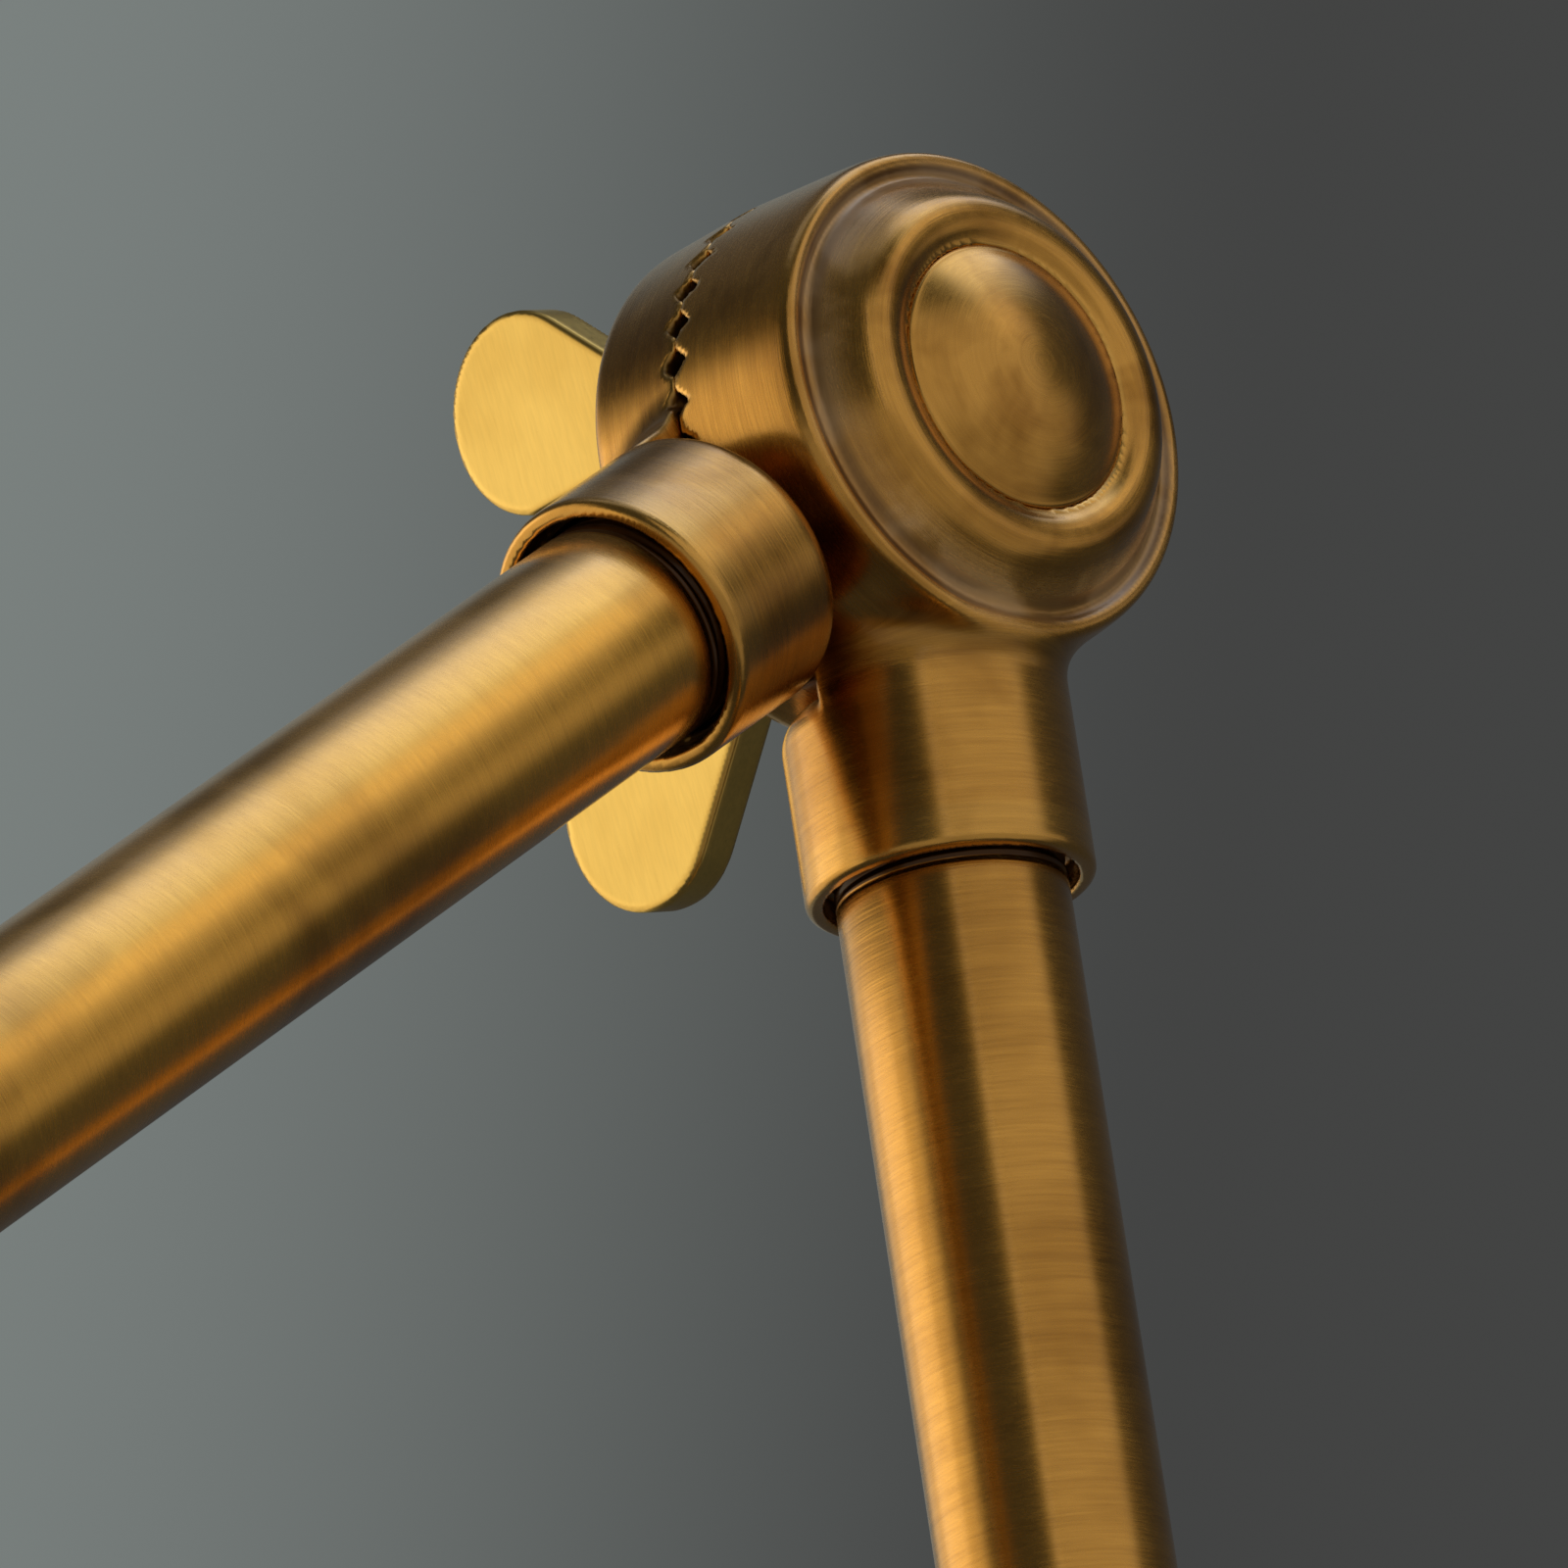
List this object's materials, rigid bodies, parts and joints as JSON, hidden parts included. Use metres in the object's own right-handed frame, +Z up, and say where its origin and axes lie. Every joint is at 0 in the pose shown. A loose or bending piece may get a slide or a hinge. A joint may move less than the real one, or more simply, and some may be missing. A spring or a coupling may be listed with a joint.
{
  "type": "swing arm desk lamp",
  "caption": "Swing arm desk lamp: weighted round base, two tube arms, toothed clamp knuckles with wing nuts, and a spun shade over a bulb.",
  "frame": {"origin": "middle of the felt pad's underside, on the swivel axis", "axes": "+Z up; the upper arm and head reach toward -Y; every hinge turns about X, with the domed caps on +X and the wing nuts on -X"},
  "size_m": [0.22, 0.4452, 0.5219],
  "materials": {
    "antique_brass": "aged and lacquered, brushed round",
    "polished_brass": "bright satin",
    "steel": "zinc plated",
    "cast_iron": "as cast, painted",
    "felt": "felt",
    "black_plastic": "moulded, satin",
    "porcelain": "glazed",
    "clear_glass": "clear",
    "tungsten": "drawn wire",
    "lead_sheath": "woven over plastic"
  },
  "bodies": {
    "base": {"felt_pad": "felt", "base_plate": "steel", "base_weight": "cast_iron", "base_cover": "antique_brass", "plate_screw_1": "steel", "plate_screw_2": "steel", "plate_screw_3": "steel", "base_bush": "antique_brass", "bush_nut": "steel", "cord_gland": "black_plastic", "base_lead": "lead_sheath"},
    "post": {"swivel_post": "antique_brass", "post_clip": "steel", "post_collar": "antique_brass", "post_lead": "lead_sheath", "base_front_half": "antique_brass", "base_dome_cap": "antique_brass", "base_pivot_bolt": "steel", "base_spring": "steel"},
    "lower_arm": {"base_rear_half": "antique_brass", "base_washer": "antique_brass", "lower_tube": "antique_brass", "lower_lead": "lead_sheath", "elbow_front_half": "antique_brass", "elbow_dome_cap": "antique_brass", "elbow_pivot_bolt": "steel", "elbow_spring": "steel"},
    "upper_arm": {"elbow_rear_half": "antique_brass", "elbow_washer": "antique_brass", "upper_tube": "antique_brass", "upper_lead": "lead_sheath", "head_front_half": "antique_brass", "head_dome_cap": "antique_brass", "head_pivot_bolt": "steel", "head_spring": "steel"},
    "head": {"head_rear_half": "antique_brass", "head_washer": "antique_brass", "head_stem": "antique_brass", "head_lead": "lead_sheath", "stem_nut": "steel", "holder_cup": "antique_brass", "lamp_holder": "porcelain", "holder_contact": "steel", "bulb_cap": "steel", "bulb_tip": "steel", "bulb_glass": "clear_glass", "bulb_stem": "clear_glass", "bulb_filament": "tungsten", "shade": "antique_brass", "shade_ring": "antique_brass"},
    "base_nut": {"base_wing_nut": "polished_brass"},
    "elbow_nut": {"elbow_wing_nut": "polished_brass"},
    "head_nut": {"head_wing_nut": "polished_brass"},
    "switch": {"switch_shaft": "steel", "switch_knob": "black_plastic"}
  },
  "joints": [
    {"name": "base_swivel", "type": "hinge", "parent": "base", "child": "post", "pos_m": [0, 0, 0.03], "axis": [0, 0, 1], "range_deg": [-170, 170]},
    {"name": "base_hinge", "type": "hinge", "parent": "post", "child": "lower_arm", "pos_m": [0, 0, 0.112], "axis": [1, 0, 0], "range_deg": [-40, 25]},
    {"name": "elbow_hinge", "type": "hinge", "parent": "lower_arm", "child": "upper_arm", "pos_m": [0, 0, 0.5], "axis": [1, 0, 0], "range_deg": [-120, 4]},
    {"name": "head_hinge", "type": "hinge", "parent": "upper_arm", "child": "head", "pos_m": [0, -0.25115, 0.33591], "axis": [1, 0, 0], "range_deg": [-75, 60]},
    {"name": "base_nut_turn", "type": "hinge", "parent": "post", "child": "base_nut", "pos_m": [0, 0, 0.112], "axis": [-1, 0, 0], "range_deg": [0, 360]},
    {"name": "elbow_nut_turn", "type": "hinge", "parent": "lower_arm", "child": "elbow_nut", "pos_m": [0, 0, 0.5], "axis": [-1, 0, 0], "range_deg": [0, 360]},
    {"name": "head_nut_turn", "type": "hinge", "parent": "upper_arm", "child": "head_nut", "pos_m": [0, -0.25115, 0.33591], "axis": [-1, 0, 0], "range_deg": [0, 360]},
    {"name": "switch_turn", "type": "hinge", "parent": "head", "child": "switch", "pos_m": [0.03, -0.25115, 0.26841], "axis": [1, 0, 0], "range_deg": [0, 90]}
  ]
}
